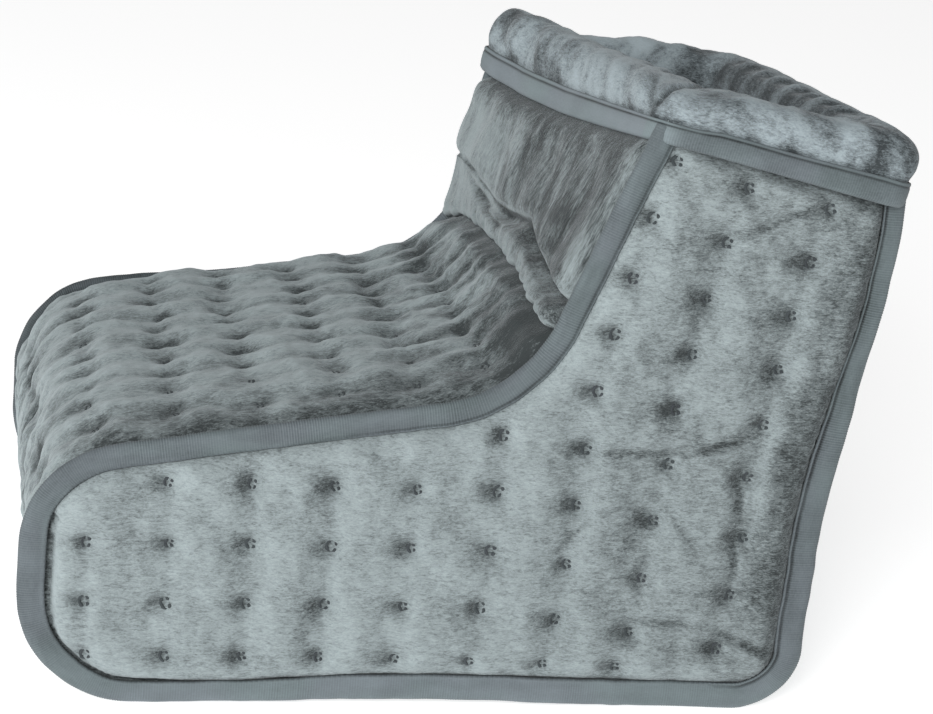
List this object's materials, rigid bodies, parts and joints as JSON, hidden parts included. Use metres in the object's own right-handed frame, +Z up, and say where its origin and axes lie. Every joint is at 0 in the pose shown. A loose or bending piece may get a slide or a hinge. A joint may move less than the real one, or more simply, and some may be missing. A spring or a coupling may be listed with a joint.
{
  "type": "electric foot warmer",
  "caption": "Boot-shaped quilted plush foot warmer that holds the feet together, with a turned-down cuff, bound seams, a wire heater in the sole and a heel socket.",
  "frame": {"origin": "on the floor, under the centre of the whole part's bounding box", "axes": "+Z up, +X towards the heel, +Y towards the wearer's right side"},
  "size_m": [0.3426, 0.2296, 0.2656],
  "materials": {
    "plush": "short plush pile, quilted",
    "lining_plush": "short plush pile",
    "binding_tape": "ribbed knitted tape",
    "wadding": "bonded polyester wadding",
    "felt": "needled felt",
    "sole_cloth": "dotted non-slip cloth",
    "wire_cover": "smooth silicone cover",
    "lead_cover": "smooth flexible cover",
    "tinned_metal": "tinned",
    "cutout_case": "matt",
    "black_plastic": "satin moulded"
  },
  "bodies": {
    "root": {"ankle_panel": "plush", "binding_left": "binding_tape", "binding_right": "binding_tape", "cuff": "plush", "cuff_binding": "binding_tape", "footbed": "lining_plush", "heater_carrier": "felt", "heater_cover": "felt", "heating_wire": "wire_cover", "heel_panel": "plush", "inlet_housing": "black_plastic", "inlet_patch": "binding_tape", "inlet_pin_live": "tinned_metal", "inlet_pin_neutral": "tinned_metal", "instep_panel": "plush", "lead_link": "lead_cover", "lead_live": "lead_cover", "lead_neutral": "lead_cover", "lining_front": "lining_plush", "lining_heel": "lining_plush", "lining_left": "lining_plush", "lining_right": "lining_plush", "side_panel_left": "plush", "side_panel_right": "plush", "sole_panel": "sole_cloth", "splice_live": "tinned_metal", "splice_neutral": "tinned_metal", "thermal_cutout": "cutout_case", "wadding_ankle": "wadding", "wadding_heel": "wadding", "wadding_instep": "wadding", "wadding_left": "wadding", "wadding_right": "wadding", "wadding_sole": "wadding"}
  },
  "joints": []
}
